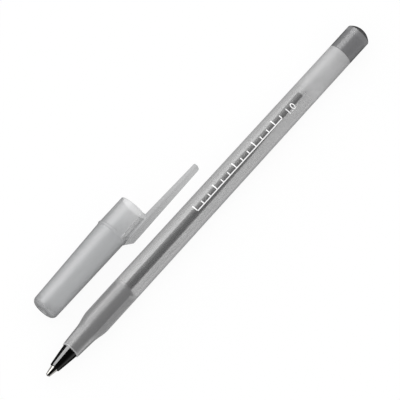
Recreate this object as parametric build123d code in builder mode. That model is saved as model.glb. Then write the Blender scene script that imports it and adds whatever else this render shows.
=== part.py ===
from build123d import *

import os
from math import atan, cos, radians, sin, sqrt

os.makedirs("parts", exist_ok=True)

# A stick ballpoint pen with its cap taken off and lying beside it, in millimetres.
# The pen lies on the table along X with its ball at the -X end, and the cap lies on its +Y side.
# Places along the pen are measured back from the front of the ball, and places along the cap from its
# closed end.

# Overall sizes
pen_length = 145.0
barrel_diameter = 8.45
barrel_taper = 0.5
barrel_wall = 1.0
press_gap = 0.02
edge_round = 0.15

# Writing tip
ball_diameter = 1.0
ball_exposed = 0.3
ball_clearance = 0.02
lip_wall = 0.15
tip_exposed = 3.3
shank_diameter = 2.3
shank_exposed = 0.4
shank_length = 6.0
ink_way = 1.2
capillary_diameter = 0.5
capillary_length = 1.4

# Ink tube
tube_bore = 1.9
tube_wall = 0.5
tube_rear_gap = 6.0
tube_lean = 1.1
tube_empty = 7.7

# Nose cone
nose_exposed = 7.0
nose_front_wall = 0.4
nose_shoulder = 0.36
nose_bulge = 0.03
tail_length = 25.1
tail_wall = 0.66
tube_socket_depth = 12.0

# Barrel front
barrel_rim = 0.37
sleeve_length = 6.6
sleeve_rise = 0.44
flare_length = 5.5

# End plug
plug_dome = 1.9
plug_head = 8.6
plug_spigot = 4.0
plug_wall = 0.9
plug_end_wall = 1.5
plug_lead_in = 0.5
seam_bevel = 0.12

# Cap
cap_clearance = 0.05
cap_seat = 15.5
cap_seat_relief = 0.5
cap_seat_margin = 1.0
cap_tip_room = 3.0
cap_end_wall = 1.2
cap_end_side = 0.85
cap_end_round = 1.75
cap_inner_round = 0.8
vent_diameter = 3.6
waist_wall = 0.65
collar_wall = 0.68
mouth_wall = 0.48
mouth_lead_in = 0.25
collar_length = 10.1
bead_height = 0.2
bead_width = 1.1

# Pocket clip
clip_standoff = 1.88
clip_spread = 0.4
clip_reach = 21.9
clip_root_width = 4.8
clip_tip_width = 2.9
clip_root_thickness = 1.45
clip_tip_thickness = 1.15
clip_ramp = 2.0
clip_tip_round = 0.8
clip_edge_round = 0.3
clip_elevation = 14.0

# How the cap lies beside the pen
cap_setback = 14.4
table_gap = 3.61
cap_yaw = 0.5

# Radii and places along the pen
barrel_radius = barrel_diameter / 2
rear_radius = barrel_radius - barrel_taper / 2
bore_radius = rear_radius - barrel_wall
ball_radius = ball_diameter / 2
capillary_radius = capillary_diameter / 2
shank_radius = shank_diameter / 2
way_radius = ink_way / 2
tube_inner = tube_bore / 2
tube_outer = tube_inner + tube_wall
socket_inner = tube_outer + press_gap
tail_radius = socket_inner + tail_wall
grip_radius = tail_radius + press_gap
nose_rear_radius = grip_radius + nose_shoulder
nose_front_radius = shank_radius + press_gap + nose_front_wall
rim_radius = nose_rear_radius + barrel_rim
sleeve_radius = rim_radius + sleeve_rise

barrel_front = tip_exposed + nose_exposed
sleeve_end = barrel_front + sleeve_length
flare_end = sleeve_end + flare_length
tail_end = barrel_front + tail_length
shank_end = tip_exposed + shank_length
capillary_end = ball_diameter + capillary_length
tube_front = tail_end - tube_socket_depth
barrel_rear = pen_length - plug_dome - plug_head
spigot_front = barrel_rear - plug_spigot
tube_end = spigot_front - tube_rear_gap
ink_end = tube_end - tube_empty

# Radii and places along the cap, whose closed end is as wide outside as its mouth is inside
cap_bore_radius = barrel_radius + cap_clearance
cap_overhang = cap_tip_room + cap_end_wall
cap_seat_start = flare_end + cap_overhang - cap_seat_relief
cap_length = cap_seat_start + cap_seat
straight_end = cap_length - cap_overhang + cap_seat_margin
cap_end_radius = cap_bore_radius
cap_end_bore = cap_end_radius - cap_end_side
vent_radius = vent_diameter / 2
waist_radius = cap_bore_radius + waist_wall
collar_radius = cap_bore_radius + collar_wall
mouth_radius = cap_bore_radius + mouth_wall
bead_place = cap_length - collar_length
bead_radius = collar_radius + bead_height
clip_radius = collar_radius + clip_standoff
clip_tip_radius = clip_radius + clip_spread
ramp_foot_radius = sqrt(collar_radius**2 - (clip_root_width / 2) ** 2)
clip_end = cap_length + clip_reach

# The pen lies level on its widest stretch, and the cap on its bead and on the edge of its closed end
cap_spacing = barrel_radius + table_gap + clip_radius
pen_side = (barrel_radius - bead_radius - cap_spacing) / 2
pen_plane = Plane(origin=(-pen_length / 2, pen_side, barrel_radius), x_dir=(1, 0, 0), z_dir=(0, -1, 0))
pen_axis = Axis(pen_plane.origin, pen_plane.x_dir)
lean_plane = Plane(origin=pen_plane.origin, x_dir=pen_plane.x_dir, z_dir=(0, 0, 1))
ball_centre = pen_plane.from_local_coords((ball_radius, 0, 0))

pitch = atan((bead_radius - cap_end_radius) / (bead_place - cap_end_round))
yaw = radians(cap_yaw)
elevation = radians(clip_elevation)
cap_direction = Vector(cos(pitch) * cos(yaw), cos(pitch) * sin(yaw), sin(pitch))
towards_pen = Vector(sin(yaw), -cos(yaw), 0)
cap_upward = towards_pen.cross(cap_direction)
clip_outward = towards_pen * cos(elevation) + cap_upward * sin(elevation)
cap_origin = Vector(
    cap_setback - pen_length / 2,
    pen_side + cap_spacing - bead_place * cap_direction.Y,
    cap_end_radius * cos(pitch) - cap_end_round * sin(pitch),
)
cap_plane = Plane(origin=cap_origin, x_dir=cap_direction, z_dir=cap_direction.cross(clip_outward))
clip_plane = Plane(origin=cap_origin, x_dir=cap_direction, z_dir=clip_outward)
cap_axis = Axis(cap_origin, cap_direction)
clip_axis = Axis(cap_origin, clip_outward)

# Barrel: a narrow front sleeve, an S-shaped flare, a straight seat for the cap and a long taper
with BuildPart() as barrel:
    with BuildSketch(pen_plane):
        with BuildLine():
            front = Line((barrel_front, grip_radius), (barrel_front, rim_radius))
            sleeve = Line(front @ 1, (sleeve_end, sleeve_radius))
            flare = Spline(sleeve @ 1, (flare_end, barrel_radius), tangents=(sleeve % 1, (1, 0)))
            Polyline(
                flare @ 1,
                (straight_end, barrel_radius),
                (barrel_rear, rear_radius),
                (barrel_rear, bore_radius),
                (tail_end, bore_radius),
                (tail_end, grip_radius),
                front @ 0,
            )
        make_face()
    revolve(axis=pen_axis)
    rims = barrel.edges().filter_by(lambda edge: edge.is_closed).group_by(pen_axis)
    fillet(rims[0].sort_by(SortBy.RADIUS)[-1], edge_round)
    chamfer(rims[-1].sort_by(SortBy.RADIUS)[-1], seam_bevel)
barrel.part.label = "barrel"

# End plug: a domed head flush with the barrel on a hollow spigot
with BuildPart() as end_plug:
    with BuildSketch(pen_plane):
        with BuildLine():
            spigot_radius = bore_radius - press_gap
            recess_radius = spigot_radius - plug_wall
            recess_end = barrel_rear + plug_head - plug_end_wall
            outline = Polyline(
                (recess_end, 0),
                (recess_end, recess_radius),
                (spigot_front, recess_radius),
                (spigot_front, spigot_radius),
                (barrel_rear, spigot_radius),
                (barrel_rear, rear_radius),
                (barrel_rear + plug_head, rear_radius),
            )
            dome = SagittaArc(
                outline @ 1,
                (barrel_rear + plug_head, -rear_radius),
                plug_dome,
                mode=Mode.PRIVATE,
            )
            crown = dome.trim(0, 0.5)
            add(crown)
            Line(crown @ 1, outline @ 0)
        make_face()
    revolve(axis=pen_axis)
    rims = end_plug.edges().filter_by(lambda edge: edge.is_closed)
    head_rims = rims.group_by(SortBy.RADIUS)[-1].sort_by(pen_axis)
    chamfer(head_rims[0], seam_bevel)
    fillet(head_rims[-1], edge_round)
    chamfer(rims.group_by(pen_axis)[0].sort_by(SortBy.RADIUS)[-1], plug_lead_in)
end_plug.part.label = "end_plug"

# Nose cone: a slightly bulged cone on a long tail that fills the grip bore
with BuildPart() as nose_cone:
    with BuildSketch(pen_plane):
        with BuildLine():
            face = Line((tip_exposed, shank_radius + press_gap), (tip_exposed, nose_front_radius))
            cone = SagittaArc(face @ 1, (barrel_front, nose_rear_radius), -nose_bulge)
            Polyline(
                cone @ 1,
                (barrel_front, tail_radius),
                (tail_end, tail_radius),
                (tail_end, socket_inner),
                (tube_front, socket_inner),
                (tube_front, way_radius),
                (shank_end, way_radius),
                (shank_end, shank_radius + press_gap),
                face @ 0,
            )
        make_face()
    revolve(axis=pen_axis)
    rims = nose_cone.edges().filter_by(lambda edge: edge.is_closed).group_by(pen_axis)
    fillet(rims[0].sort_by(SortBy.RADIUS)[-1], edge_round)
nose_cone.part.label = "nose_cone"

# Ball socket: a turned metal cone on a shank, its lip closed over a round seat for the ball
with BuildPart() as ball_socket:
    with BuildSketch(pen_plane):
        with BuildLine():
            seat_radius = ball_radius + ball_clearance
            seat_lip = sqrt(seat_radius**2 - (ball_radius - ball_exposed) ** 2)
            seat_depth = ball_radius + sqrt(seat_radius**2 - capillary_radius**2)
            seat = ThreePointArc(
                (ball_exposed, seat_lip),
                (ball_radius, seat_radius),
                (seat_depth, capillary_radius),
            )
            Polyline(
                seat @ 1,
                (capillary_end, capillary_radius),
                (capillary_end, way_radius),
                (shank_end - press_gap, way_radius),
                (shank_end - press_gap, shank_radius),
                (tip_exposed - shank_exposed, shank_radius),
                (ball_exposed, seat_radius + lip_wall),
                seat @ 0,
            )
        make_face()
    revolve(axis=pen_axis)
ball_socket.part.label = "ball_socket"

# Writing ball
with BuildPart() as writing_ball:
    with Locations(ball_centre):
        Sphere(ball_radius)
writing_ball.part.label = "writing_ball"

# Ink tube: open at both ends, pushed into the tail of the nose cone and leaning over behind it
with BuildPart() as ink_tube:
    with BuildLine(lean_plane):
        pushed_in = Line((tube_front + press_gap, 0), (tail_end, 0))
        leaning = TangentArc(pushed_in @ 1, (tube_end, tube_lean), tangent=pushed_in % 1)
    with BuildSketch(Plane(pushed_in @ 0, z_dir=pushed_in % 0)):
        Circle(tube_outer)
        Circle(tube_inner, mode=Mode.SUBTRACT)
    sweep()
ink_tube.part.label = "ink_tube"

# Ink column: from behind the ball through the nose cone and along the tube, short of its open end
with BuildPart() as ink_column:
    with BuildSketch(pen_plane):
        with BuildLine():
            thread_radius = capillary_radius - press_gap
            neck_radius = way_radius - press_gap
            fill_front = tube_front + 2 * press_gap
            fill_radius = tube_inner - press_gap
            Polyline(
                (fill_front, 0),
                (ball_diameter + 2 * ball_clearance, 0),
                (ball_diameter + 2 * ball_clearance, thread_radius),
                (capillary_end + press_gap, thread_radius),
                (capillary_end + press_gap, neck_radius),
                (fill_front, neck_radius),
                close=True,
            )
        make_face()
    revolve(axis=pen_axis)
    with BuildLine(lean_plane):
        filled = Line((fill_front, 0), (tail_end, 0))
        add(leaning.trim(0, (ink_end - tail_end) / (tube_end - tail_end)))
    with BuildSketch(Plane(filled @ 0, z_dir=filled % 0)):
        Circle(fill_radius)
    sweep()
ink_column.part.label = "ink_column"

# Pocket clip: a tapered blade with a ramped root, joined to the cap's collar
with BuildPart() as clip:
    with BuildSketch(cap_plane) as clip_side:
        with BuildLine():
            clip_crotch = (cap_length, clip_radius - clip_root_thickness)
            Polyline(
                (bead_place - bead_width / 2, cap_end_bore),
                (bead_place - bead_width / 2, ramp_foot_radius),
                (bead_place + clip_ramp, clip_radius),
                (clip_end, clip_tip_radius),
                (clip_end, clip_tip_radius - clip_tip_thickness),
                clip_crotch,
                (cap_length, cap_end_bore),
                close=True,
            )
        make_face()
        fillet(clip_side.vertices().sort_by_distance(clip_crotch)[0], clip_edge_round)
    extrude(amount=clip_root_width, both=True)
    with BuildSketch(clip_plane) as clip_plan:
        with BuildLine():
            Polyline(
                (bead_place - bead_width, -clip_root_width / 2),
                (clip_end, -clip_tip_width / 2),
                (clip_end, clip_tip_width / 2),
                (bead_place - bead_width, clip_root_width / 2),
                close=True,
            )
        make_face()
        fillet(clip_plan.vertices().group_by(Axis.X)[-1], clip_tip_round)
    extrude(amount=clip_tip_radius + clip_edge_round, mode=Mode.INTERSECT)
    fillet(clip.faces().sort_by(clip_axis)[-1].edges(), clip_edge_round)

# Cap: a tapered tube with a vented end, a bead and a collar that carries the clip
with BuildPart() as cap:
    with BuildSketch(cap_plane):
        with BuildLine():
            end_face = Line((0, 0), (0, cap_end_radius - cap_end_round))
            end_edge = RadiusArc(end_face @ 1, (cap_end_round, cap_end_radius), cap_end_round)
            side = Line(end_edge @ 1, (bead_place - bead_width / 2, waist_radius))
            bead = ThreePointArc(
                side @ 1,
                (bead_place, bead_radius),
                (bead_place + bead_width / 2, collar_radius),
            )
            Polyline(bead @ 1, (cap_length, mouth_radius), (cap_length, 0), end_face @ 0)
        make_face()
    revolve(axis=cap_axis)
    add(clip.part)
    with BuildSketch(cap_plane) as cap_inside:
        with BuildLine():
            inner_corner = (cap_end_wall, cap_end_bore)
            Polyline(
                (0, 0),
                (0, vent_radius),
                (cap_end_wall, vent_radius),
                inner_corner,
                (cap_seat_start, cap_bore_radius),
                (cap_length - mouth_lead_in, cap_bore_radius),
                (cap_length, cap_bore_radius + mouth_lead_in),
                (cap_length, 0),
                close=True,
            )
        make_face()
        fillet(cap_inside.vertices().sort_by_distance(inner_corner)[0], cap_inner_round)
    revolve(axis=cap_axis, mode=Mode.SUBTRACT)
cap.part.label = "cap"

for piece in (barrel, end_plug, nose_cone, ball_socket, writing_ball, ink_tube, ink_column, cap):
    export_step(piece.part, f"parts/{piece.part.label}.step")
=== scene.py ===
"""A stick ballpoint pen with its cap off, dressed and lit on a white table."""

import logging
import math
from dataclasses import dataclass, field
from enum import Enum
from typing import Any

import bmesh
import bpy
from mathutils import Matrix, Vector


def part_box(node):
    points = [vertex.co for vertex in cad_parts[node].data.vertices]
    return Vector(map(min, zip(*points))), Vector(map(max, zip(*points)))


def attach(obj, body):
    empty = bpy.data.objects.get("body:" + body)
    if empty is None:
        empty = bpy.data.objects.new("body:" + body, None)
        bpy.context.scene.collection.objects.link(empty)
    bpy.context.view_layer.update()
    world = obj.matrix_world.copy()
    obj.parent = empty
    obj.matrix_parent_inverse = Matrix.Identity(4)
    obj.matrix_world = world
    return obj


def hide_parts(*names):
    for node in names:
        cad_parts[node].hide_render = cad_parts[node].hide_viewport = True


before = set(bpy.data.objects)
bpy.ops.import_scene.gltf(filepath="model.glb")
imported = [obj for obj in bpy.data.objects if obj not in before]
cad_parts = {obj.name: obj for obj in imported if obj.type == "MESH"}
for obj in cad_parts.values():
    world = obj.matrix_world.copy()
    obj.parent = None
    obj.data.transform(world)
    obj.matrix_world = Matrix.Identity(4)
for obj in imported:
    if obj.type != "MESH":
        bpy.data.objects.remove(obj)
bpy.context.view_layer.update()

log = logging.getLogger("pen")
MM = 0.001
Colour = tuple[float, float, float, float]
Triple = tuple[float, float, float]
Pair = tuple[float, float]
WHITE: Colour = (1.0, 1.0, 1.0, 1.0)

# The Mix node repeats the names of its sockets for each kind of data, so they go by place.
MIX_SHARE, MIX_FIRST, MIX_SECOND, MIX_RESULT = 0, 6, 7, 2


class Body(Enum):
    """The bodies that move against each other."""

    PEN = "pen"
    BALL = "ball"
    CAP = "cap"


class Axis(Enum):
    """The row frame's axes, as places in a vector."""

    X = 0
    Y = 1
    Z = 2


class Ray(Enum):
    """The kinds of rays that a shader tells apart, by the names of their outputs."""

    CAMERA = "Is Camera Ray"
    GLOSSY = "Is Glossy Ray"
    TRANSMISSION = "Is Transmission Ray"


@dataclass(frozen=True)
class Grain:
    """The sizes of a mottle.

    Attributes:
        cell: The size of its cells in millimetres.
        detail: How many finer layers it has.
        stretch: How much finer it runs along X, Y and Z.
    """

    cell: float
    detail: float
    stretch: Triple = (1.0, 1.0, 1.0)


class Number:
    """A number that a material works out, which takes part in plain arithmetic."""

    def __init__(self, shader: "Shader", socket: bpy.types.NodeSocket) -> None:
        """Wrap an output socket.

        Args:
            shader: The tree that the socket belongs to.
            socket: The output that gives the number.
        """
        self.shader = shader
        self.socket = socket

    def _math(self, operation: str, *values: "float | Number") -> "Number":
        """Add one Math node.

        Args:
            operation: The node's operation.
            values: Its inputs, numbers of either kind.

        Returns:
            The node's result.
        """
        node = self.shader.node("ShaderNodeMath", {"operation": operation}, dict(enumerate(values)))
        return Number(self.shader, node.outputs[0])

    def __add__(self, other: "float | Number") -> "Number":
        """Add."""
        return self._math("ADD", self, other)

    def __sub__(self, other: "float | Number") -> "Number":
        """Subtract."""
        return self._math("SUBTRACT", self, other)

    def __rsub__(self, other: "float | Number") -> "Number":
        """Subtract from a plain number."""
        return self._math("SUBTRACT", other, self)

    def __mul__(self, other: "float | Number") -> "Number":
        """Multiply."""
        return self._math("MULTIPLY", self, other)

    def __truediv__(self, other: "float | Number") -> "Number":
        """Divide."""
        return self._math("DIVIDE", self, other)

    def __pow__(self, other: "float | Number") -> "Number":
        """Raise to a power."""
        return self._math("POWER", self, other)

    __radd__ = __add__
    __rmul__ = __mul__

    def smooth(self, span: Pair) -> "Number":
        """Turn the number into a smooth step.

        Args:
            span: The values at which the step leaves 0 and reaches 1.

        Returns:
            A number from 0 to 1.
        """
        inputs = {"Value": self, "From Min": span[0], "From Max": span[1]}
        node = self.shader.node("ShaderNodeMapRange", {"interpolation_type": "SMOOTHSTEP"}, inputs)
        return Number(self.shader, node.outputs["Result"])

    def between(self, first: "float | Number", last: "float | Number") -> "Number":
        """Give a number that runs evenly from first, where this one is 0, to last, where it is 1."""
        return self * (last - first) + first


class Shader:
    """The node tree of one material or world, emptied and ready for nodes."""

    def __init__(self, tree: bpy.types.NodeTree) -> None:
        """Take over a node tree.

        Args:
            tree: The tree, whose nodes are cleared.
        """
        self.tree = tree
        tree.nodes.clear()

    def node(self, kind: str, settings: dict[str, Any], inputs: dict[Any, Any]) -> bpy.types.Node:
        """Add one node.

        Args:
            kind: The node's type.
            settings: Its settings.
            inputs: Values or links of its sockets, by name or place.

        Returns:
            The new node.
        """
        node = self.tree.nodes.new(kind)
        for name, value in settings.items():
            setattr(node, name, value)
        for name, value in inputs.items():
            source = value.socket if isinstance(value, Number) else value
            if isinstance(source, bpy.types.NodeSocket):
                self.tree.links.new(source, node.inputs[name])
            else:
                node.inputs[name].default_value = source
        return node

    def places(self) -> bpy.types.NodeSocket:
        """Give the Object coordinates."""
        return self.node("ShaderNodeTexCoord", {}, {}).outputs["Object"]

    def along(self, axis: Axis) -> Number:
        """Give one Object coordinate in millimetres."""
        split = self.node("ShaderNodeSeparateXYZ", {}, {"Vector": self.places()})
        return Number(self, split.outputs[axis.value]) / MM

    def own_places(self, origin: Triple, turn: Triple) -> tuple[Number, ...]:
        """Give the places in a frame of one's own, in millimetres.

        Args:
            origin: The frame's origin in millimetres.
            turn: Its turn about X, Y and Z in radians.

        Returns:
            The three coordinates.
        """
        start = tuple(value * MM for value in origin)
        inputs = {"Vector": self.places(), "Location": start, "Rotation": turn, "Scale": (MM, MM, MM)}
        own = self.node("ShaderNodeMapping", {"vector_type": "TEXTURE"}, inputs)
        split = self.node("ShaderNodeSeparateXYZ", {}, {"Vector": own.outputs[0]})
        return tuple(Number(self, split.outputs[axis.value]) for axis in Axis)

    def noise(self, grain: Grain) -> Number:
        """Give a mottle.

        Args:
            grain: Its sizes.

        Returns:
            A number around one half.
        """
        scale = tuple(share / (grain.cell * MM) for share in grain.stretch)
        place = self.node("ShaderNodeMapping", {}, {"Vector": self.places(), "Scale": scale})
        inputs = {"Vector": place.outputs[0], "Scale": 1.0, "Detail": grain.detail}
        return Number(self, self.node("ShaderNodeTexNoise", {}, inputs).outputs[0])

    def mix(self, share: Number, first: Any, second: Any) -> bpy.types.NodeSocket:
        """Mix two colours.

        Args:
            share: The second colour's share.
            first: A colour or its socket.
            second: A colour or its socket.

        Returns:
            The mixed colour's socket.
        """
        inputs = {MIX_SHARE: share, MIX_FIRST: first, MIX_SECOND: second}
        return self.node("ShaderNodeMix", {"data_type": "RGBA"}, inputs).outputs[MIX_RESULT]

    def bump(self, height: Number, depth_mm: float) -> bpy.types.NodeSocket:
        """Turn heights from 0 to 1 into a bent normal, with a relief of the given depth."""
        inputs = {"Height": height, "Distance": depth_mm * MM}
        return self.node("ShaderNodeBump", {}, inputs).outputs["Normal"]

    def edge_on(self) -> Number:
        """Give how far the surface turns away, from 0 head on to 1 edge on."""
        return Number(self, self.node("ShaderNodeLayerWeight", {}, {"Blend": 0.5}).outputs["Facing"])

    def rays(self, *kinds: Ray) -> Number:
        """Give 1 to rays of the given kinds and 0 to all others."""
        path = self.node("ShaderNodeLightPath", {}, {})
        return sum(Number(self, path.outputs[kind.value]) for kind in kinds)


@dataclass(frozen=True)
class Finish:
    """A finish: one Principled shader whose sockets a subclass gives.

    In the subclasses a span is a stretch along X in millimetres, a turn is a range of how far the surface
    turns away, and opaque is a share of the light that doesn't pass.
    """

    name: str

    def sockets(self, shader: Shader) -> dict[str, Any]:
        """Give the values and links of the Principled shader's sockets.

        Args:
            shader: The material's tree.

        Returns:
            Sockets by name.
        """
        raise NotImplementedError

    def make(self) -> bpy.types.Material:
        """Make the material.

        Returns:
            The new material.
        """
        material = bpy.data.materials.new(self.name)
        material.use_nodes = True
        shader = Shader(material.node_tree)
        principled = shader.node("ShaderNodeBsdfPrincipled", {}, self.sockets(shader))
        shader.node("ShaderNodeOutputMaterial", {}, {"Surface": principled.outputs[0]})
        return material


@dataclass(frozen=True)
class FrostedBarrel(Finish):
    """Smoke-tinted plastic with a frosted skin. The grip's wall is thick, so less shows through it."""

    name: str = "frosted_barrel"
    colour: Colour = (0.235, 0.235, 0.237, 1.0)
    grip_colour: Colour = (0.24, 0.24, 0.242, 1.0)
    sleeve_highlight_colour: Colour = (0.45, 0.45, 0.454, 1.0)
    sleeve_edge: Colour = (0.02, 0.02, 0.02, 1.0)
    rim_highlight_colour: Colour = (0.5, 0.5, 0.505, 1.0)
    tail_colour: Colour = (0.5, 0.5, 0.505, 1.0)
    tail_edge: Colour = (0.3, 0.3, 0.303, 1.0)
    rim_highlight_span: Pair = (-62.1, -61.6)
    sleeve_span: Pair = (-57.0, -53.0)
    grip_span: Pair = (-37.7, -36.5)
    pale_span: Pair = (42.0, 48.0)
    tail_span: Pair = (42.0, 57.0)
    sleeve_highlight_turn: Pair = (0.08, 0.4)
    sleeve_edge_turn: Pair = (0.35, 0.75)
    tail_turn: Pair = (0.2, 0.9)
    skin_turn: Pair = (0.4, 1.0)
    opaque: float = 0.45
    grip_opaque: float = 0.73
    tail_opaque: float = 0.8
    mottle: float = 0.03
    rough: Pair = (0.32, 0.42)
    tail_rough: float = 0.25
    haze: Grain = Grain(3.0, 2.0, (0.3, 1.0, 1.0))
    frost: Grain = Grain(0.8, 1.0)
    relief: float = 0.0005
    ior: float = 1.53
    specular: float = 0.38
    sheen: float = 0.1
    sheen_rough: float = 0.3

    def sockets(self, shader: Shader) -> dict[str, Any]:
        """Give the sockets: a pale tail, a dense grip, a skin that closes up edge on, and painted
        highlights on the front rim and along the sleeve's sides.

        Args:
            shader: The material's tree.

        Returns:
            Sockets by name.
        """
        x = shader.along(Axis.X)
        turned = shader.edge_on()
        haze = shader.noise(self.haze)
        # Painted highlight: the last half millimetre at the front rim is painted pale, for the light that
        # the rim catches.
        rim = 1.0 - x.smooth(self.rim_highlight_span)
        sleeve = 1.0 - x.smooth(self.sleeve_span)
        grip = 1.0 - x.smooth(self.grip_span)
        tail = x.smooth(self.tail_span)
        # Painted light: on the sleeve, the sides are painted pale where the surface turns a little away,
        # for a broad highlight and the light that comes through the wall, and near black at the outline.
        side = shader.mix(turned.smooth(self.sleeve_edge_turn), self.sleeve_highlight_colour, self.sleeve_edge)
        front = shader.mix(sleeve * turned.smooth(self.sleeve_highlight_turn), self.grip_colour, side)
        front = shader.mix(rim, front, self.rim_highlight_colour)
        rear = shader.mix(turned.smooth(self.tail_turn), self.tail_colour, self.tail_edge)
        shade = shader.mix(grip, self.colour, front)
        wall = haze.between(self.opaque - self.mottle, self.opaque + self.mottle)
        wall = wall + grip * (self.grip_opaque - self.opaque) + tail * (self.tail_opaque - self.opaque)
        return {
            "Base Color": shader.mix(x.smooth(self.pale_span), shade, rear),
            "Roughness": haze.between(*self.rough) + tail * self.tail_rough,
            "Alpha": turned.smooth(self.skin_turn).between(wall, 1.0),
            "IOR": self.ior,
            "Specular IOR Level": self.specular,
            "Sheen Weight": self.sheen,
            "Sheen Roughness": self.sheen_rough,
            "Normal": shader.bump(shader.noise(self.frost), self.relief),
        }


@dataclass(frozen=True)
class BarrelBore(Finish):
    """The barrel's polished inner wall, which is nearly clear."""

    name: str = "barrel_bore"
    colour: Colour = (0.4, 0.4, 0.4, 1.0)
    opaque: float = 0.05
    rough: Pair = (0.25, 0.35)
    haze: Grain = Grain(2.0, 2.0)

    def sockets(self, shader: Shader) -> dict[str, Any]:
        """Give the sockets of a clear wall, a little hazy."""
        rough = shader.noise(self.haze).between(*self.rough)
        return {"Base Color": self.colour, "Roughness": rough, "Alpha": self.opaque}


@dataclass(frozen=True)
class FrostedCap(Finish):
    """The cap's satin plastic: a hazy skin, a clear inner wall and a tinted clip without gloss.

    Its spans run along the cap's own axis, from the closed end. The origin is the middle of that end.
    """

    name: str = "frosted_cap"
    colour: Colour = (0.42, 0.427, 0.437, 1.0)
    edge_colour: Colour = (0.12, 0.122, 0.125, 1.0)
    mouth_colour: Colour = (0.58, 0.586, 0.597, 1.0)
    inner_colour: Colour = (0.5, 0.5, 0.5, 1.0)
    clip_colour: Colour = (0.25, 0.255, 0.26, 1.0)
    origin: Triple = (-58.1, 6.595, 4.221)
    pitch_deg: float = 1.694
    yaw_deg: float = 0.5
    end_span: Pair = (0.0, 5.0)
    bore_span: Pair = (0.5, 0.7)
    clip_span: Pair = (31.0, 63.0)
    mouth_span: Pair = (32.0, 41.0)
    collar_span: Pair = (33.0, 33.4)
    collar_draft: float = 0.02
    collar_step: float = 0.25
    bore_radius: Pair = (3.93, 3.97)
    bore_draft: float = 0.016
    clip_radius: Pair = (5.22, 5.3)
    root_side: Pair = (-4.5, -3.6)
    edge_turn: Pair = (0.3, 0.9)
    inner_turn: Pair = (0.5, 0.8)
    gloss_turn: Pair = (0.5, 0.9)
    gloss: Pair = (1.0, 0.2)
    opaque: float = 0.62
    end_opaque: float = 0.75
    mouth_opaque: float = 0.38
    inner_opaque: float = 0.08
    inner_mouth_opaque: float = 0.34
    inner_edge_opaque: float = 0.6
    clip_opaque: float = 0.5
    clip_tip_opaque: float = 0.38
    mottle: float = 0.04
    end_tint: float = 0.3
    rough: Pair = (0.36, 0.48)
    haze: Grain = Grain(4.0, 2.0, (0.4, 1.0, 1.0))
    frost: Grain = Grain(0.8, 1.0)
    relief: float = 0.0005
    specular: float = 0.1
    coat_rough: float = 0.42
    coat_ior: float = 1.34

    def sockets(self, shader: Shader) -> dict[str, Any]:
        """Give the sockets, with skin, inner wall and clip told apart by their distance from the axis.

        Args:
            shader: The material's tree.

        Returns:
            Sockets by name.
        """
        turned = shader.edge_on()
        haze = shader.noise(self.haze)
        turn = (0.0, -math.radians(self.pitch_deg), math.radians(self.yaw_deg))
        place, y, z = shader.own_places(self.origin, turn)
        radius = (y**2 + z**2) ** 0.5
        end = 1.0 - place.smooth(self.end_span)
        mouth = place.smooth(self.mouth_span)
        collar = place.smooth(self.collar_span)
        outside = (radius - place * self.bore_draft).smooth(self.bore_radius)
        inner = (1.0 - outside) * place.smooth(self.bore_span)
        step = collar * ((place - self.collar_span[0]) * self.collar_draft + self.collar_step)
        clip = (radius + step).smooth(self.clip_radius)
        skin = (1.0 - inner) * (1.0 - clip)
        # Where the clip is moulded on, the collar has no free side, and so no dark edge.
        free = 1.0 - collar * (1.0 - y.smooth(self.root_side))
        edge = turned.smooth(self.edge_turn) * free
        inner_edge = inner * collar * free * turned.smooth(self.inner_turn)
        shade = shader.mix(mouth, self.colour, self.mouth_colour)
        shade = shader.mix(edge + end * self.end_tint, shade, self.edge_colour)
        shade = shader.mix(inner, shade, self.inner_colour)
        shade = shader.mix(inner_edge, shade, self.edge_colour)
        wall = haze.between(self.opaque - self.mottle, self.opaque + self.mottle)
        wall = wall + end * (self.end_opaque - self.opaque) + mouth * (self.mouth_opaque - self.opaque)
        lining = inner * mouth.between(self.inner_opaque, self.inner_mouth_opaque)
        lining = lining + inner_edge * self.inner_edge_opaque
        blade = clip * place.smooth(self.clip_span).between(self.clip_opaque, self.clip_tip_opaque)
        return {
            "Base Color": shader.mix(clip, shade, self.clip_colour),
            "Roughness": haze.between(*self.rough),
            "Alpha": skin * edge.between(wall, 1.0) + lining + blade,
            "Specular IOR Level": self.specular,
            "Coat Weight": skin * turned.smooth(self.gloss_turn).between(*self.gloss),
            "Coat Roughness": self.coat_rough,
            "Coat IOR": self.coat_ior,
            "Normal": shader.bump(shader.noise(self.frost), self.relief),
        }


@dataclass(frozen=True)
class Polish:
    """The gloss of a polished plastic: a clear coat over a matt body, strongest head on.

    Attributes:
        swirl: The mottle that the plastic's flow leaves.
        turn: How far the surface turns away where the gloss starts to fade, and where it is gone.
        strength: The coat's weight where the mottle is 0, and where it is 1.
        rough: The coat's roughness.
        ior: The coat's index of refraction.
        relief: The depth of the mottle in millimetres.
        body_rough: The body's roughness where the mottle is 0, and where it is 1.
    """

    swirl: Grain
    turn: Pair
    strength: Pair
    rough: float
    ior: float
    relief: float
    body_rough: Pair = (0.3, 0.5)

    def sockets(self, shader: Shader) -> dict[str, Any]:
        """Give the sockets that make the gloss.

        Args:
            shader: The material's tree.

        Returns:
            Sockets by name.
        """
        swirl = shader.noise(self.swirl)
        fade = 1.0 - shader.edge_on().smooth(self.turn)
        return {
            "Roughness": swirl.between(*self.body_rough),
            "Specular IOR Level": 0.0,
            "Coat Weight": fade * swirl.between(*self.strength),
            "Coat Roughness": self.rough,
            "Coat IOR": self.ior,
            "Normal": shader.bump(swirl, self.relief),
        }


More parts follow.
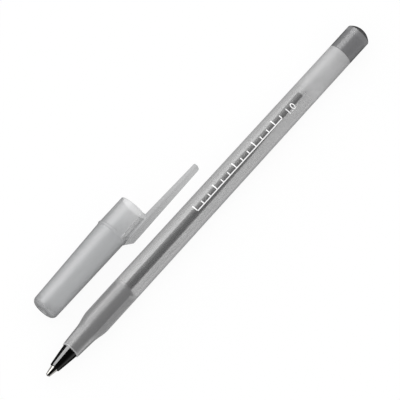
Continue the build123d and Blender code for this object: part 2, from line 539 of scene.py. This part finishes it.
@dataclass(frozen=True)
class SmokePlug(Finish):
    """Polished smoke-grey plastic, paler where its wall is thin, dark at its solid end, with a painted
    highlight band before the dome.
    """

    name: str = "smoke_plug"
    colour: Colour = (0.18, 0.18, 0.185, 1.0)
    rim_highlight_colour: Colour = (0.21, 0.21, 0.215, 1.0)
    end_colour: Colour = (0.03, 0.03, 0.03, 1.0)
    edge_colour: Colour = (0.08, 0.08, 0.082, 1.0)
    rim_highlight_span: Pair = (68.3, 69.3)
    end_span: Pair = (70.3, 70.7)
    edge_turn: Pair = (0.3, 0.9)
    opaque: float = 0.9
    polish: Polish = Polish(Grain(1.5, 1.0), (0.4, 0.8), (1.2, 0.8), 0.31, 1.32, 0.0003)

    def sockets(self, shader: Shader) -> dict[str, Any]:
        """Give the sockets: the side darkens edge on, a painted highlight band lies before the dome, and
        the end stays dark.

        Args:
            shader: The material's tree.

        Returns:
            Sockets by name.
        """
        x = shader.along(Axis.X)
        # Painted highlight: the band just before the dome is painted paler, for the light that the
        # rounded shoulder catches.
        rim = x.smooth(self.rim_highlight_span)
        edge = shader.edge_on().smooth(self.edge_turn) * (1.0 - rim)
        shade = shader.mix(rim, self.colour, self.rim_highlight_colour)
        shade = shader.mix(edge, shade, self.edge_colour)
        return {
            "Base Color": shader.mix(x.smooth(self.end_span), shade, self.end_colour),
            "Alpha": self.opaque,
            **self.polish.sockets(shader),
        }


@dataclass(frozen=True)
class PlugInside(Finish):
    """The plug's matt inner side. Its thin spigot lets nearly all light through."""

    name: str = "plug_inside"
    colour: Colour = (0.85, 0.85, 0.86, 1.0)
    head_span: Pair = (61.9, 61.95)
    spigot_opaque: float = 0.1
    rough: Pair = (0.5, 0.7)
    haze: Grain = Grain(1.5, 2.0)

    def sockets(self, shader: Shader) -> dict[str, Any]:
        """Give the sockets: a clear spigot and a solid head.

        Args:
            shader: The material's tree.

        Returns:
            Sockets by name.
        """
        head = shader.along(Axis.X).smooth(self.head_span)
        return {
            "Base Color": self.colour,
            "Roughness": shader.noise(self.haze).between(*self.rough),
            "Alpha": head.between(self.spigot_opaque, 1.0),
        }


@dataclass(frozen=True)
class BlackNose(Finish):
    """Polished black plastic."""

    name: str = "black_nose"
    colour: Colour = (0.0015, 0.0015, 0.0015, 1.0)
    polish: Polish = Polish(Grain(0.8, 2.0), (0.2, 0.5), (1.1, 0.9), 0.04, 1.47, 0.0015)

    def sockets(self, shader: Shader) -> dict[str, Any]:
        """Give the sockets of the colour and its polish."""
        return {"Base Color": self.colour, **self.polish.sockets(shader)}


@dataclass(frozen=True)
class TurnedMetal(Finish):
    """Nickel silver with the fine rings of a lathe tool. It mirrors most where it is seen edge on."""

    name: str = "nickel_silver"
    face_colour: Colour = (0.1, 0.098, 0.093, 1.0)
    edge_colour: Colour = (0.5, 0.49, 0.465, 1.0)
    tint: Colour = (0.05, 0.05, 0.05, 1.0)
    edge_turn: Pair = (0.18, 0.4)
    rough: Pair = (0.03, 0.09)
    rings: Grain = Grain(0.05, 1.0, (1.0, 0.02, 0.02))
    relief: float = 0.0003

    def sockets(self, shader: Shader) -> dict[str, Any]:
        """Give the sockets of a ringed metal.

        Args:
            shader: The material's tree.

        Returns:
            Sockets by name.
        """
        rings = shader.noise(self.rings)
        edge = shader.edge_on().smooth(self.edge_turn)
        return {
            "Base Color": shader.mix(edge, self.face_colour, self.edge_colour),
            "Metallic": 1.0,
            "Specular Tint": self.tint,
            "Roughness": rings.between(*self.rough),
            "Normal": shader.bump(rings, self.relief),
        }


@dataclass(frozen=True)
class CarbideBall(Finish):
    """Polished carbide with a film of ink in its pores."""

    name: str = "carbide_ball"
    colour: Colour = (0.4, 0.4, 0.41, 1.0)
    ink_colour: Colour = (0.02, 0.02, 0.02, 1.0)
    rough: Pair = (0.1, 0.3)
    pores: Grain = Grain(0.08, 2.0)
    pore_depth: Pair = (0.42, 0.68)

    def sockets(self, shader: Shader) -> dict[str, Any]:
        """Give the sockets of a metal with dull, dark spots.

        Args:
            shader: The material's tree.

        Returns:
            Sockets by name.
        """
        film = shader.noise(self.pores).smooth(self.pore_depth)
        return {
            "Base Color": shader.mix(film, self.colour, self.ink_colour),
            "Metallic": 1.0,
            "Roughness": film.between(*self.rough),
        }


@dataclass(frozen=True)
class ClearTube(Finish):
    """Drawn clear tube, whose wall works as a lens and spreads the ink's dark stripe."""

    name: str = "clear_tube"
    colour: Colour = (0.6, 0.61, 0.61, 1.0)
    ink_colour: Colour = (0.02, 0.02, 0.02, 1.0)
    ink_span: Pair = (43.8, 44.3)
    slim_span: Pair = (15.0, 44.3)
    slimness: Pair = (1.0, 2.5)
    stripe_turn: Pair = (0.0, 0.8)
    opaque: float = 0.02
    rough: Pair = (0.2, 0.3)
    streaks: Grain = Grain(0.8, 2.0, (0.05, 1.0, 1.0))
    specular: float = 0.1

    def sockets(self, shader: Shader) -> dict[str, Any]:
        """Give the sockets: a stripe as far as the ink reaches, which slims towards its end.

        Args:
            shader: The material's tree.

        Returns:
            Sockets by name.
        """
        x = shader.along(Axis.X)
        ink = 1.0 - x.smooth(self.ink_span)
        slim = x.smooth(self.slim_span).between(*self.slimness)
        stripe = 1.0 - (shader.edge_on() * slim).smooth(self.stripe_turn)
        return {
            "Base Color": shader.mix(ink, self.colour, self.ink_colour),
            "Roughness": shader.noise(self.streaks).between(*self.rough),
            "Specular IOR Level": self.specular,
            "Alpha": (ink * stripe).between(self.opaque, 1.0),
        }


@dataclass(frozen=True)
class PasteInk(Finish):
    """Wet black paste."""

    name: str = "black_ink"
    colour: Colour = (0.006, 0.006, 0.007, 1.0)
    rough: Pair = (0.3, 0.5)
    smear: Grain = Grain(1.0, 2.0, (0.1, 1.0, 1.0))

    def sockets(self, shader: Shader) -> dict[str, Any]:
        """Give the sockets of a smeared black."""
        return {"Base Color": self.colour, "Roughness": shader.noise(self.smear).between(*self.rough)}


@dataclass(frozen=True)
class WhitePrint(Finish):
    """Opaque white pad print, a little worn."""

    name: str = "white_print"
    colour: Colour = (0.97, 0.97, 0.97, 1.0)
    worn_colour: Colour = (0.7, 0.7, 0.7, 1.0)
    rough: Pair = (0.6, 0.45)
    wear: Grain = Grain(0.3, 3.0)
    wear_depth: Pair = (0.25, 0.4)

    def sockets(self, shader: Shader) -> dict[str, Any]:
        """Give the sockets of a white with dull, greyer spots.

        Args:
            shader: The material's tree.

        Returns:
            Sockets by name.
        """
        whole = shader.noise(self.wear).smooth(self.wear_depth)
        return {
            "Base Color": shader.mix(whole, self.worn_colour, self.colour),
            "Roughness": whole.between(*self.rough),
        }


def finish_piece(name: str, mesh: bmesh.types.BMesh, sharp_deg: float = 35.0) -> bpy.types.Object:
    """Turn a bmesh into a smooth-shaded object in the scene.

    Args:
        name: The piece's name.
        mesh: The mesh, which is freed.
        sharp_deg: Edges that bend more than this stay sharp.

    Returns:
        The new object, at the origin.
    """
    for face in mesh.faces:
        face.smooth = True
    for edge in mesh.edges:
        edge.smooth = edge.is_manifold and edge.calc_face_angle() < math.radians(sharp_deg)
    data = bpy.data.meshes.new(name)
    mesh.to_mesh(data)
    mesh.free()
    piece = bpy.data.objects.new(name, data)
    bpy.context.scene.collection.objects.link(piece)
    weighted = piece.modifiers.new("even_shading", "WEIGHTED_NORMAL")
    weighted.mode, weighted.keep_sharp = "FACE_AREA", True
    log.info("%s: %d faces", name, len(data.polygons))
    return piece


def dress_node(node: str, finish: Finish) -> None:
    """Give a carried-over solid a better material.

    Args:
        node: The node's name.
        finish: Its finish.
    """
    material = finish.make()
    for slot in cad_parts[node].material_slots:
        slot.material = material
    log.info("%s: dressed", node)


@dataclass
class Lathe:
    """Turns profiles about the pen's axis. Places are in millimetres back from the ball's front."""

    nose_front: float = 3.3
    steps: int = 96
    round_steps: int = 4
    weld: float = 1e-7
    start: float = field(init=False)
    side: float = field(init=False)
    height: float = field(init=False)

    def __post_init__(self) -> None:
        """Find the pen's axis from its nose cone, its end plug and its barrel."""
        self.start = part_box("nose_cone")[0].x / MM - self.nose_front
        low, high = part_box("end_plug")
        self.side, self.height = (low.y + high.y) / 2 / MM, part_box("barrel")[1].z / 2 / MM

    def at(self, place: float, radius: float = 0.0, angle: float = 0.0) -> Vector:
        """Give a point in metres.

        Args:
            place: The distance along the pen.
            radius: The distance from its axis.
            angle: Radians from straight up towards the cap.

        Returns:
            The point in the row frame.
        """
        y, z = radius * math.sin(angle), radius * math.cos(angle)
        return Vector((self.start + place, self.side + y, self.height + z)) * MM

    def turn(self, name: str, profile: list[Pair], rounds: dict[Pair, float]) -> bpy.types.Object:
        """Spin a profile into a solid.

        Args:
            name: The piece's name.
            profile: Places and radii in order, as a closed loop unless both ends lie on the axis.
            rounds: The corners of the profile that are rounded, with their radii.

        Returns:
            The piece, at the origin.
        """
        mesh = bmesh.new()
        corners = [mesh.verts.new(self.at(*point)) for point in profile]
        on_axis = profile[0][1] == 0.0 and profile[-1][1] == 0.0
        following = corners[1:] if on_axis else corners[1:] + corners[:1]
        for first, second in zip(corners, following):
            mesh.edges.new((first, second))
        for corner, radius in rounds.items():
            bmesh.ops.bevel(
                mesh,
                geom=[corners[profile.index(corner)]],
                offset=radius * MM,
                offset_type="OFFSET",
                segments=self.round_steps,
                profile=0.5,
                affect="VERTICES",
                material=-1,
            )
        bmesh.ops.spin(
            mesh,
            geom=mesh.verts[:] + mesh.edges[:],
            cent=self.at(0.0),
            axis=(1.0, 0.0, 0.0),
            angle=math.tau,
            steps=self.steps,
            use_merge=True,
        )
        bmesh.ops.remove_doubles(mesh, verts=mesh.verts[:], dist=self.weld)
        bmesh.ops.recalc_face_normals(mesh, faces=mesh.faces[:])
        return finish_piece(name, mesh)

    def mount(self, piece: bpy.types.Object, node: str, slot: str, *finishes: Finish) -> None:
        """Dress a turned piece and put it in a solid's place on the pen.

        Args:
            piece: The piece.
            node: The solid that it stands for.
            slot: Not used.
            finishes: Its finishes in order of their index.
        """
        for finish in finishes:
            piece.data.materials.append(finish.make())
        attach(piece, Body.PEN.value)
        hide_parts(node)


def arc(start: Pair, end: Pair, bulge: float, count: int) -> list[Pair]:
    """Give the points between the ends of a round arc.

    Args:
        start: Its first end.
        end: Its last end.
        bulge: How far its middle lies to the left of the straight line.
        count: How many points.

    Returns:
        The points in order, without the ends.
    """
    first, last = Vector(start), Vector(end)
    half = (last - first) / 2
    left = Vector((-half.y, half.x)).normalized()
    radius = (half.length_squared + bulge**2) / (2 * bulge)
    centre = first + half + left * (bulge - radius)
    sweep = 2 * math.asin(half.length / radius)
    spoke = first - centre
    points = []
    for step in range(1, count + 1):
        turn = -sweep * step / (count + 1)
        x = spoke.x * math.cos(turn) - spoke.y * math.sin(turn)
        y = spoke.x * math.sin(turn) + spoke.y * math.cos(turn)
        points.append((centre.x + x, centre.y + y))
    return points


@dataclass
class Barrel:
    """The frosted tube: narrow sleeve, flare, straight grip and long taper."""

    lathe: Lathe
    front: float = 10.3
    sleeve_end: float = 16.9
    flare_end: float = 22.4
    tail_end: float = 35.4
    straight_end: float = 38.4
    rear: float = 134.5
    front_bore: float = 2.15
    rear_bore: float = 2.975
    rim_radius: float = 2.88
    sleeve_radius: float = 3.32
    radius: float = 4.225
    rear_radius: float = 3.975
    rim_round: float = 0.15
    rear_round: float = 0.12
    flare_points: int = 9

    def flare(self) -> list[Pair]:
        """Give the points of the S-shaped flare between sleeve and grip.

        Returns:
            The points in order, without the ends.
        """
        run, rise = self.flare_end - self.sleeve_end, self.radius - self.sleeve_radius
        slope = (self.sleeve_radius - self.rim_radius) / (self.sleeve_end - self.front)
        points = []
        for step in range(1, self.flare_points):
            t = step / self.flare_points
            lift = 3 * t**2 - 2 * t**3
            lean = t**3 - 2 * t**2 + t
            radius = self.sleeve_radius + rise * lift + slope * run * lean
            points.append((self.sleeve_end + run * t, radius))
        return points

    def build(self) -> None:
        """Make the barrel and dress it, its bore apart from its skin."""
        rim, heel = (self.front, self.rim_radius), (self.rear, self.rear_radius)
        profile = [
            (self.front, self.front_bore),
            rim,
            (self.sleeve_end, self.sleeve_radius),
            *self.flare(),
            (self.flare_end, self.radius),
            (self.straight_end, self.radius),
            heel,
            (self.rear, self.rear_bore),
            (self.tail_end, self.rear_bore),
            (self.tail_end, self.front_bore),
        ]
        piece = self.lathe.turn("barrel_skin", profile, {rim: self.rim_round, heel: self.rear_round})
        self.lathe.mount(piece, "barrel", "frosted_barrel", FrostedBarrel(), BarrelBore())
        axis = self.lathe.at(0.0)
        for face in piece.data.polygons:
            out = face.center - axis
            face.material_index = int(face.normal.y * out.y + face.normal.z * out.z < 0.0)

    def surface(self, place: float) -> float:
        """Give the radius of the long taper at a distance along the pen."""
        share = (place - self.straight_end) / (self.rear - self.straight_end)
        return self.radius + (self.rear_radius - self.radius) * share


@dataclass
class Gauge:
    """A plain ink gauge printed on the barrel: a rule with ticks, and the ball's size.

    It is cut into rows across its reach, so that it bends round the barrel.
    """

    barrel: Barrel
    start: float = 67.0
    end: float = 106.0
    pitch: float = 3.0
    line: float = 0.34
    tick: float = 1.1
    long_tick: float = 2.0
    long_every: int = 3
    figures: str = "1.0"
    figure_size: float = 3.0
    figure_place: float = 110.0
    facing_deg: float = -14.0
    layer: float = 0.03
    rows: int = 12
    reach: float = 1.5

    def bar(self, mesh: bmesh.types.BMesh, middle: Pair, size: Pair) -> None:
        """Lay a flat bar.

        Args:
            mesh: The flat print.
            middle: Its place along the pen and across the print.
            size: Its sizes along the pen and across the print.
        """
        made = bmesh.ops.create_grid(mesh, x_segments=1, y_segments=1, size=0.5)
        bmesh.ops.scale(mesh, verts=made["verts"], vec=(*size, 1.0))
        bmesh.ops.translate(mesh, verts=made["verts"], vec=(*middle, 0.0))

    def numerals(self, mesh: bmesh.types.BMesh) -> None:
        """Set the ball's size in plain figures.

        Args:
            mesh: The flat print.
        """
        curve = bpy.data.curves.new("ball_size", "FONT")
        curve.body, curve.size = self.figures, self.figure_size
        curve.align_x, curve.align_y = "CENTER", "CENTER"
        text = bpy.data.objects.new("ball_size", curve)
        bpy.context.scene.collection.objects.link(text)
        graph = bpy.context.evaluated_depsgraph_get()
        flat = bpy.data.meshes.new_from_object(text.evaluated_get(graph))
        made = bmesh.new()
        made.from_mesh(flat)
        bmesh.ops.translate(made, verts=made.verts[:], vec=(self.figure_place, 0.0, 0.0))
        made.to_mesh(flat)
        made.free()
        mesh.from_mesh(flat)
        bpy.data.objects.remove(text)
        bpy.data.curves.remove(curve)
        bpy.data.meshes.remove(flat)

    def wrap(self, mesh: bmesh.types.BMesh) -> None:
        """Give the flat print its thickness and bend it round the barrel.

        Args:
            mesh: The flat print.
        """
        for row in range(1, self.rows):
            cut = self.reach * (2.0 * row / self.rows - 1.0)
            bmesh.ops.bisect_plane(
                mesh,
                geom=mesh.verts[:] + mesh.edges[:] + mesh.faces[:],
                plane_co=(0.0, cut, 0.0),
                plane_no=(0.0, 1.0, 0.0),
            )
        bmesh.ops.solidify(mesh, geom=mesh.faces[:], thickness=-self.layer)
        middle = math.radians(self.facing_deg)
        for vert in mesh.verts:
            radius = self.barrel.surface(vert.co.x)
            angle = middle + vert.co.y / radius
            vert.co = self.barrel.lathe.at(vert.co.x, radius + vert.co.z, angle)
        bmesh.ops.recalc_face_normals(mesh, faces=mesh.faces[:])

    def build(self) -> None:
        """Make the flat print, wrap it round the barrel and dress it."""
        mesh = bmesh.new()
        length = self.end - self.start
        self.bar(mesh, (self.start + length / 2, 0.0), (length, self.line))
        for index in range(round(length / self.pitch) + 1):
            tick = self.tick if index % self.long_every else self.long_tick
            middle = (self.start + index * self.pitch, (tick + self.line) / 2)
            self.bar(mesh, middle, (self.line, tick))
        self.numerals(mesh)
        self.wrap(mesh)
        piece = finish_piece("gauge_print", mesh)
        piece.data.materials.append(WhitePrint().make())
        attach(piece, Body.PEN.value)


@dataclass
class EndPlug:
    """The smoke plug: a domed head flush with the barrel on a hollow spigot."""

    barrel: Barrel
    front: float = 130.5
    head_end: float = 143.1
    end: float = 145.0
    recess_end: float = 141.6
    spigot_radius: float = 2.955
    recess_radius: float = 2.055
    dome_bulge: float = 0.46
    dome_points: int = 9
    dimple_radius: float = 0.55
    dimple_floor: float = 0.44
    dimple_lip: float = 0.03
    dimple_depth: float = 0.12
    head_round: float = 0.15
    seam_round: float = 0.12
    spigot_round: float = 0.3
    inside_end: float = 141.7
    inside_radius: float = 3.775

    def build(self) -> None:
        """Make the plug, with the dimple that its moulding gate leaves, and dress it."""
        lathe, seam, radius = self.barrel.lathe, self.barrel.rear, self.barrel.rear_radius
        spigot, head, shoulder = (self.front, self.spigot_radius), (seam, radius), (self.head_end, radius)
        dome = arc(shoulder, (self.end, 0.0), self.dome_bulge, self.dome_points)
        profile = [
            (self.recess_end, 0.0),
            (self.recess_end, self.recess_radius),
            (self.front, self.recess_radius),
            spigot,
            (seam, self.spigot_radius),
            head,
            shoulder,
            *[point for point in dome if point[1] > self.dimple_radius],
            (self.end - self.dimple_lip, self.dimple_radius),
            (self.end - self.dimple_depth, self.dimple_floor),
            (self.end - self.dimple_depth, 0.0),
        ]
        rounds = {shoulder: self.head_round, head: self.seam_round, spigot: self.spigot_round}
        piece = lathe.turn("plug_body", profile, rounds)
        lathe.mount(piece, "end_plug", "smoke_plug", SmokePlug(), PlugInside())
        axis, back = lathe.at(0.0), lathe.at(self.inside_end).x
        for face in piece.data.polygons:
            out = face.center - axis
            inside = math.hypot(out.y, out.z) < self.inside_radius * MM and face.center.x < back
            face.material_index = int(inside)


@dataclass
class WritingPoint:
    """The front end: black nose cone, turned metal socket and the rolling ball."""

    barrel: Barrel
    tube_front: float = 23.4
    tube_radius: float = 1.47
    tail_radius: float = 2.13
    way_radius: float = 0.6
    front_radius: float = 1.57
    rear_radius: float = 2.51
    cone_bulge: float = 0.03
    shank_front: float = 2.9
    shank_end: float = 9.3
    shank_radius: float = 1.15
    press_gap: float = 0.02
    lip: float = 0.3
    lip_radius: float = 0.67
    seat_radius: float = 0.48
    seat_end: float = 0.95
    seat_bulge: float = 0.22
    capillary_radius: float = 0.25
    capillary_end: float = 2.4
    arc_points: int = 7
    nose_round: float = 0.15
    lip_round: float = 0.06
    shank_round: float = 0.1

    def build(self) -> None:
        """Make nose cone and socket, and dress all three pieces."""
        self.nose()
        self.socket()
        dress_node("writing_ball", CarbideBall())

    def nose(self) -> None:
        """Turn the nose cone with its long tail, hollow for socket and ink tube."""
        lathe, seam, tail_end = self.barrel.lathe, self.barrel.front, self.barrel.tail_end
        tip, base = (lathe.nose_front, self.front_radius), (seam, self.rear_radius)
        press_radius = self.shank_radius + self.press_gap
        profile = [
            (lathe.nose_front, press_radius),
            tip,
            *arc(tip, base, self.cone_bulge, self.arc_points),
            base,
            (seam, self.tail_radius),
            (tail_end, self.tail_radius),
            (tail_end, self.tube_radius),
            (self.tube_front, self.tube_radius),
            (self.tube_front, self.way_radius),
            (self.shank_end, self.way_radius),
            (self.shank_end, press_radius),
        ]
        piece = lathe.turn("nose_body", profile, {tip: self.nose_round})
        lathe.mount(piece, "nose_cone", "black_nose", BlackNose())

    def socket(self) -> None:
        """Turn the metal socket with the ball's seat, its capillary and the ink way behind."""
        lathe, rear = self.barrel.lathe, self.shank_end - self.press_gap
        seat, throat = (self.lip, self.seat_radius), (self.seat_end, self.capillary_radius)
        shoulder, lip = (self.shank_front, self.shank_radius), (self.lip, self.lip_radius)
        profile = [
            seat,
            *arc(seat, throat, self.seat_bulge, self.arc_points),
            throat,
            (self.capillary_end, self.capillary_radius),
            (self.capillary_end, self.way_radius),
            (rear, self.way_radius),
            (rear, self.shank_radius),
            shoulder,
            lip,
        ]
        piece = lathe.turn("socket_body", profile, {lip: self.lip_round, shoulder: self.shank_round})
        lathe.mount(piece, "ball_socket", "nickel_silver", TurnedMetal())


@dataclass
class Refill:
    """The ink tube and what it holds, seen through the barrel."""

    tube: Finish = ClearTube()
    ink: Finish = PasteInk()

    def build(self) -> None:
        """Dress the tube and the ink."""
        dress_node("ink_tube", self.tube)
        dress_node("ink_column", self.ink)


@dataclass
class Cap:
    """The cap with its clip, lying beside the pen."""

    plastic: Finish = FrostedCap()

    def build(self) -> None:
        """Dress the cap."""
        dress_node("cap", self.plastic)


@dataclass
class Studio:
    """White table, soft light and the camera.

    Sizes are in metres, apart from the camera's target and the table's drop, which are in millimetres.
    """

    lathe: Lathe
    target: Pair = (71.216, 1.731)
    azimuth_deg: float = -49.544
    elevation_deg: float = 69.0
    distance: float = 1.2
    lens: float = 361.9
    sensor: float = 36.0
    sight: Pair = (0.05, 20.0)
    key_place: Triple = (0.0, 0.38, 0.465)
    key_size: Pair = (0.9, 0.54)
    key_glow: float = 12.0
    sky_light: float = 3.1
    sky_tilt_deg: float = -25.0
    table_reach: float = 4.0
    table_drop: float = 0.05
    table_colour: Colour = (0.8, 0.8, 0.8, 1.0)
    table_white: float = 0.92
    room_rise: Pair = (0.0, 0.6)
    room_glow: Pair = (0.45, 0.0315)

    def build(self) -> None:
        """Make the table, the lamps, the surroundings and the camera."""
        self.table()
        self.softbox()
        self.dome()
        self.surroundings()
        self.camera()
        bpy.context.scene.view_settings.view_transform = "Standard"

    def middle(self) -> Vector:
        """Give the point that the camera looks at."""
        return self.lathe.at(self.target[0]) + Vector((0.0, self.target[1] * MM, 0.0))

    def table(self) -> None:
        """Lay the white table top, which the camera sees with only a faint shadow on it."""
        mesh = bmesh.new()
        bmesh.ops.create_grid(mesh, x_segments=1, y_segments=1, size=self.table_reach)
        bmesh.ops.translate(mesh, verts=mesh.verts[:], vec=(0.0, 0.0, -self.table_drop * MM))
        table = finish_piece("table_top", mesh)
        material = bpy.data.materials.new("white_table")
        material.use_nodes = True
        shader = Shader(material.node_tree)
        seen = shader.rays(Ray.CAMERA, Ray.GLOSSY, Ray.TRANSMISSION)
        paint = shader.mix(seen, self.table_colour, WHITE)
        paper = shader.node("ShaderNodeBsdfDiffuse", {}, {"Color": paint})
        white = shader.node("ShaderNodeEmission", {}, {"Color": WHITE, "Strength": 1.0})
        layers = {0: seen * self.table_white, 1: paper.outputs[0], 2: white.outputs[0]}
        both = shader.node("ShaderNodeMixShader", {}, layers)
        shader.node("ShaderNodeOutputMaterial", {}, {"Surface": both.outputs[0]})
        table.data.materials.append(material)

    def softbox(self) -> None:
        """Hang the key lamp over the pen's upper side. It shows in gloss only."""
        away = Vector(self.key_place)
        data = bpy.data.lights.new("key_softbox", "AREA")
        data.shape = "RECTANGLE"
        data.size, data.size_y = self.key_size
        data.energy = self.key_glow * math.pi * math.prod(self.key_size)
        lamp = bpy.data.objects.new("key_softbox", data)
        lamp.location = self.middle() + away
        lamp.rotation_mode = "QUATERNION"
        lamp.rotation_quaternion = (-away).to_track_quat("-Z", "Y")
        lamp.visible_camera = lamp.visible_diffuse = False
        bpy.context.scene.collection.objects.link(lamp)

    def dome(self) -> None:
        """Light the table evenly from the whole sky, which doesn't show in gloss."""
        data = bpy.data.lights.new("sky_dome", "SUN")
        data.energy, data.angle = self.sky_light, math.pi
        lamp = bpy.data.objects.new("sky_dome", data)
        lamp.visible_camera = lamp.visible_glossy = False
        lamp.rotation_euler = (math.radians(self.sky_tilt_deg), 0.0, 0.0)
        bpy.context.scene.collection.objects.link(lamp)

    def surroundings(self) -> None:
        """Make the room: white to the camera, dark overhead and brighter towards the horizon."""
        world = bpy.data.worlds.new("room")
        world.use_nodes = True
        bpy.context.scene.world = world
        shader = Shader(world.node_tree)
        way = shader.node("ShaderNodeTexCoord", {}, {}).outputs["Generated"]
        split = shader.node("ShaderNodeSeparateXYZ", {}, {"Vector": way})
        up = Number(shader, split.outputs[Axis.Z.value])
        glow = up.smooth(self.room_rise).between(*self.room_glow)
        strength = shader.rays(Ray.CAMERA).between(glow, 1.0)
        light = shader.node("ShaderNodeBackground", {}, {"Color": WHITE, "Strength": strength})
        shader.node("ShaderNodeOutputWorld", {}, {"Surface": light.outputs[0]})

    def camera(self) -> None:
        """Set up the camera at the photograph's angle."""
        data = bpy.data.cameras.new("camera")
        data.lens, data.sensor_width = self.lens, self.sensor
        data.clip_start, data.clip_end = self.sight
        turn, rise = math.radians(self.azimuth_deg), math.radians(self.elevation_deg)
        level = math.cos(rise)
        back = Vector((math.sin(turn) * level, -math.cos(turn) * level, math.sin(rise)))
        camera = bpy.data.objects.new("camera", data)
        camera.location = self.middle() + back * self.distance
        camera.rotation_mode = "QUATERNION"
        camera.rotation_quaternion = (-back).to_track_quat("-Z", "Y")
        bpy.context.scene.collection.objects.link(camera)
        bpy.context.scene.camera = camera


def main() -> None:
    """Build the pen piece by piece, then the studio round it."""
    logging.basicConfig(level=logging.INFO, format="%(name)s: %(message)s")
    lathe = Lathe()
    barrel = Barrel(lathe)
    barrel.build()
    Gauge(barrel).build()
    EndPlug(barrel).build()
    WritingPoint(barrel).build()
    Refill().build()
    Cap().build()
    Studio(lathe).build()


if __name__ == "__main__":
    main()
